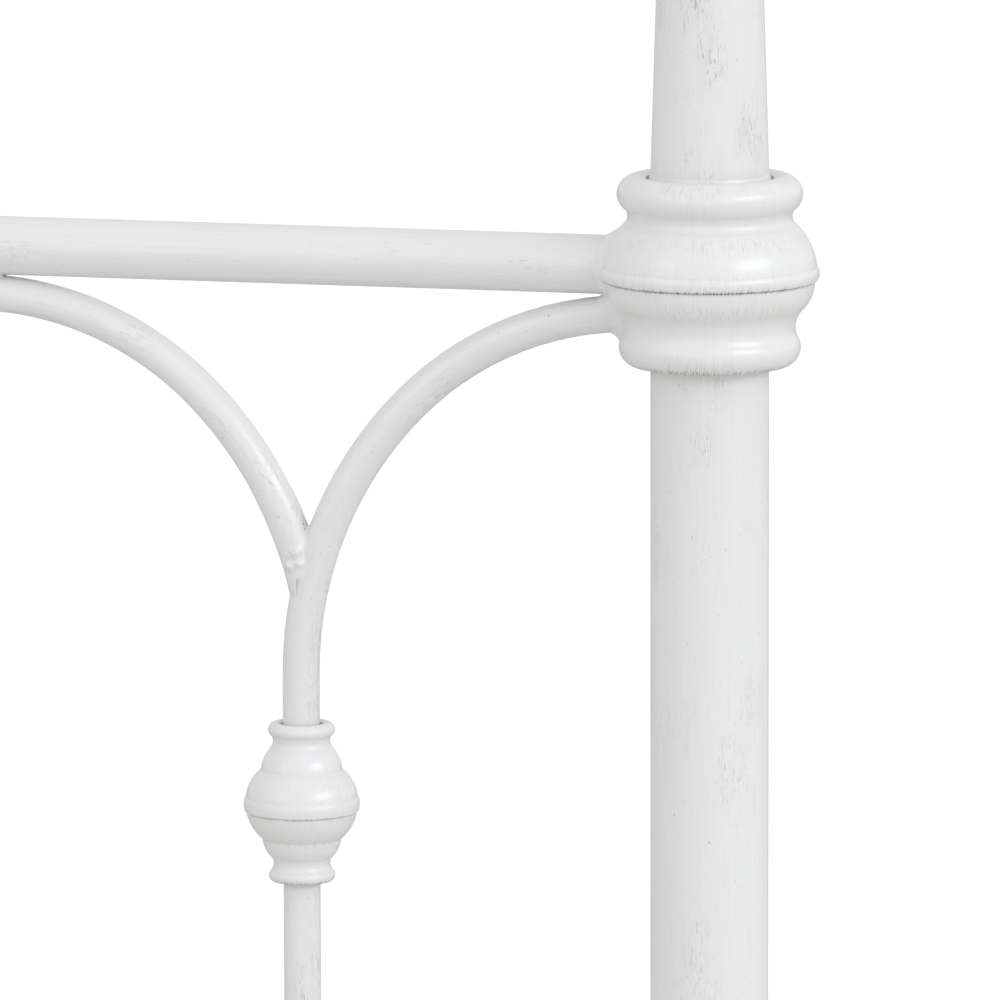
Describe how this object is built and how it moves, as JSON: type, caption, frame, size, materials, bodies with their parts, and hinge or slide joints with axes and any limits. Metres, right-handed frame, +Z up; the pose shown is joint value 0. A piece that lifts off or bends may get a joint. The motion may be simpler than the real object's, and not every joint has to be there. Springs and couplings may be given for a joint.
{
  "type": "bed frame",
  "caption": "Metal bed frame with arched tube head and foot panels, turned collars and knots on round posts, bolted side rails, slats and a propped centre beam.",
  "frame": {"origin": "on the floor, at the middle of the bed", "axes": "+X to the bed's right seen from the foot, +Y towards the head, +Z up"},
  "size_m": [1.6014, 2.1898, 1.3531],
  "materials": {
    "tube_paint": "satin off-white paint, lightly rubbed and streaked with brown glaze",
    "casting_paint": "satin off-white paint on castings, brown glaze left in the grooves",
    "base_paint": "satin off-white powder coat on plain steel",
    "zinc": "bright zinc-plated steel",
    "glide_plastic": "moulded off-white plastic, dull"
  },
  "bodies": {
    "frame": {"arch_foot_1": "tube_paint", "arch_foot_2": "tube_paint", "arch_foot_3": "tube_paint", "arch_foot_4": "tube_paint", "arch_head_1": "tube_paint", "arch_head_2": "tube_paint", "arch_head_3": "tube_paint", "arch_head_4": "tube_paint", "bolts": "zinc", "bottom_rail_foot": "tube_paint", "bottom_rail_head": "tube_paint", "brackets": "base_paint", "cane_foot_left": "tube_paint", "cane_foot_right": "tube_paint", "cane_head_left": "tube_paint", "cane_head_right": "tube_paint", "centre_beam": "base_paint", "centre_leg_foot": "base_paint", "centre_leg_head": "base_paint", "collar_foot_left": "casting_paint", "collar_foot_right": "casting_paint", "collar_head_left": "casting_paint", "collar_head_right": "casting_paint", "finial_foot_left": "casting_paint", "finial_foot_right": "casting_paint", "finial_head_left": "casting_paint", "finial_head_right": "casting_paint", "glides": "glide_plastic", "knot_foot_1": "casting_paint", "knot_foot_2": "casting_paint", "knot_foot_3": "casting_paint", "knot_foot_4": "casting_paint", "knot_foot_5": "casting_paint", "knot_head_1": "casting_paint", "knot_head_2": "casting_paint", "knot_head_3": "casting_paint", "knot_head_4": "casting_paint", "knot_head_5": "casting_paint", "lower_post_foot_left": "tube_paint", "lower_post_foot_right": "tube_paint", "lower_post_head_left": "tube_paint", "lower_post_head_right": "tube_paint", "nuts": "zinc", "side_rail_left": "base_paint", "side_rail_right": "base_paint", "slats": "base_paint", "spindle_foot_1": "tube_paint", "spindle_foot_2": "tube_paint", "spindle_foot_3": "tube_paint", "spindle_head_1": "tube_paint", "spindle_head_2": "tube_paint", "spindle_head_3": "tube_paint", "top_rail_foot": "tube_paint", "top_rail_head": "tube_paint", "upper_post_foot_left": "tube_paint", "upper_post_foot_right": "tube_paint", "upper_post_head_left": "tube_paint", "upper_post_head_right": "tube_paint"},
    "leveller_head": {"levelling_foot_head": "zinc"},
    "leveller_foot": {"levelling_foot_foot": "zinc"}
  },
  "joints": [
    {"name": "level_head", "type": "slide", "parent": "frame", "child": "leveller_head", "axis": [0, 0, 1], "range_m": [-0.015, 0.015]},
    {"name": "level_foot", "type": "slide", "parent": "frame", "child": "leveller_foot", "axis": [0, 0, 1], "range_m": [-0.015, 0.015]}
  ]
}
